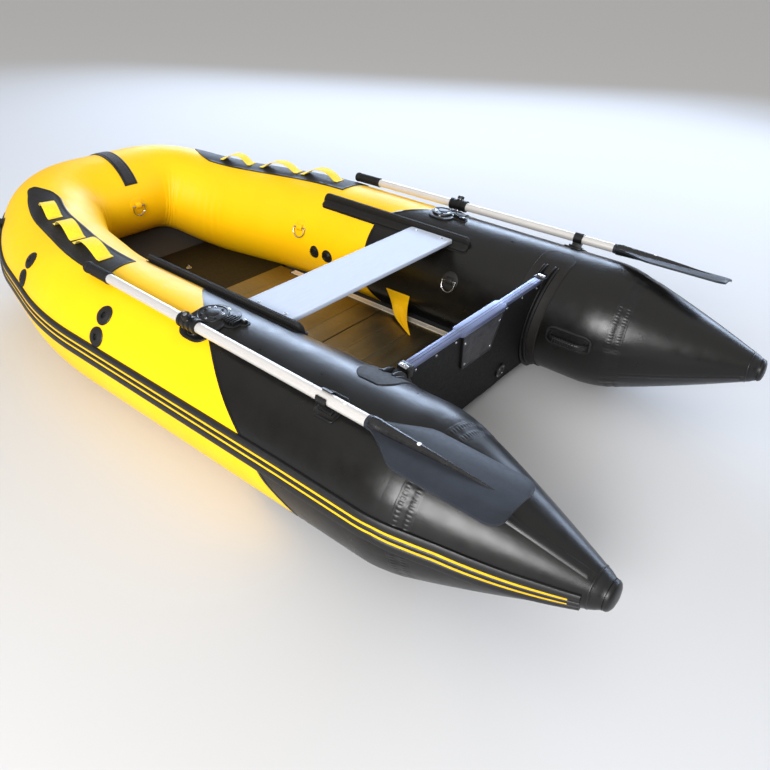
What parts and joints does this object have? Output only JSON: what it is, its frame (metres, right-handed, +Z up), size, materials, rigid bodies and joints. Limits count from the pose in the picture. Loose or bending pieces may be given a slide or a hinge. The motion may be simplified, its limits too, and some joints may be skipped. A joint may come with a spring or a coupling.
{
  "type": "inflatable boat",
  "caption": "Rigid-floor inflatable dinghy with a yellow bow chamber, black tail cones, a sliding bench, swinging oars and a transom for an outboard motor.",
  "frame": {"origin": "on the ground, under the middle of the hull's length and width", "axes": "+X to the bow, +Y to port, +Z up"},
  "size_m": [2.771, 1.532, 0.481],
  "materials": {
    "yellow_tube_fabric": "satin coated fabric",
    "black_tube_fabric": "satin coated fabric",
    "strake_rubber": "semi-matt extruded rubber",
    "bottom_fabric": "matt coated fabric",
    "yellow_webbing": "woven webbing",
    "black_webbing": "woven webbing",
    "floor_aluminium": "mill finish tread sheet",
    "stringer_aluminium": "anodised extrusion",
    "bench_aluminium": "anodised plank",
    "oar_aluminium": "anodised tube",
    "bow_board_sheet": "dark non-slip sheet",
    "transom_ply": "black painted marine plywood",
    "transom_trim": "grey-blue extruded trim",
    "motor_plate_plastic": "ribbed moulded plastic",
    "black_fitting_plastic": "moulded plastic",
    "oar_plastic": "moulded plastic",
    "grip_rubber": "moulded rubber grip",
    "stainless_fittings": "stainless wire"
  },
  "bodies": {
    "hull": {"bow_tube": "yellow_tube_fabric", "port_aft_tube": "black_tube_fabric", "starboard_aft_tube": "black_tube_fabric", "port_tail_cone": "black_tube_fabric", "starboard_tail_cone": "black_tube_fabric", "port_cone_cap": "strake_rubber", "starboard_cone_cap": "strake_rubber", "rub_strake": "strake_rubber", "bottom_skin": "bottom_fabric", "keel_tube": "bottom_fabric", "bow_floor_board": "bow_board_sheet", "front_floor_panel": "floor_aluminium", "aft_floor_panel": "floor_aluminium", "port_floor_stringer": "stringer_aluminium", "starboard_floor_stringer": "stringer_aluminium", "transom_board": "transom_ply", "transom_cap": "transom_trim", "outer_motor_plate": "motor_plate_plastic", "inner_motor_plate": "motor_plate_plastic", "port_transom_holder": "black_tube_fabric", "starboard_transom_holder": "black_tube_fabric", "drain_socket": "black_fitting_plastic", "port_bench_rail": "black_fitting_plastic", "starboard_bench_rail": "black_fitting_plastic", "port_oarlock_base": "black_fitting_plastic", "starboard_oarlock_base": "black_fitting_plastic", "port_oarlock_knob": "black_fitting_plastic", "starboard_oarlock_knob": "black_fitting_plastic", "port_oar_clip": "black_fitting_plastic", "starboard_oar_clip": "black_fitting_plastic", "port_grab_patch": "black_tube_fabric", "starboard_grab_patch": "black_tube_fabric", "port_grab_loops": "yellow_webbing", "starboard_grab_loops": "yellow_webbing", "bow_carry_strap": "black_webbing", "port_tow_ring": "stainless_fittings", "starboard_tow_ring": "stainless_fittings", "inner_d_rings": "stainless_fittings", "port_rope_pads": "black_fitting_plastic", "starboard_rope_pads": "black_fitting_plastic", "port_air_valves": "black_fitting_plastic", "starboard_air_valves": "black_fitting_plastic", "port_stern_handle": "strake_rubber", "starboard_stern_handle": "strake_rubber"},
    "bench": {"bench_plank": "bench_aluminium", "port_bench_shoe": "black_fitting_plastic", "starboard_bench_shoe": "black_fitting_plastic"},
    "port_oar": {"port_oar_shaft": "oar_aluminium", "port_oar_grip": "grip_rubber", "port_oar_blade": "oar_plastic", "port_oar_collar": "oar_plastic"},
    "starboard_oar": {"starboard_oar_shaft": "oar_aluminium", "starboard_oar_grip": "grip_rubber", "starboard_oar_blade": "oar_plastic", "starboard_oar_collar": "oar_plastic"}
  },
  "joints": [
    {"name": "bench_slide", "type": "slide", "parent": "hull", "child": "bench", "axis": [1, 0, 0], "range_m": [-0.052, 0.437]},
    {"name": "port_oar_swing", "type": "hinge", "parent": "hull", "child": "port_oar", "pos_m": [-0.1755, 0.64, 0.44], "axis": [-0.0098, -0.3745, -0.9272], "range_deg": [0, 120], "deforming": ["port_oar_clip"]},
    {"name": "starboard_oar_swing", "type": "hinge", "parent": "hull", "child": "starboard_oar", "pos_m": [-0.1755, -0.64, 0.44], "axis": [0.0098, -0.3745, 0.9272], "range_deg": [0, 120], "deforming": ["starboard_oar_clip"]}
  ]
}
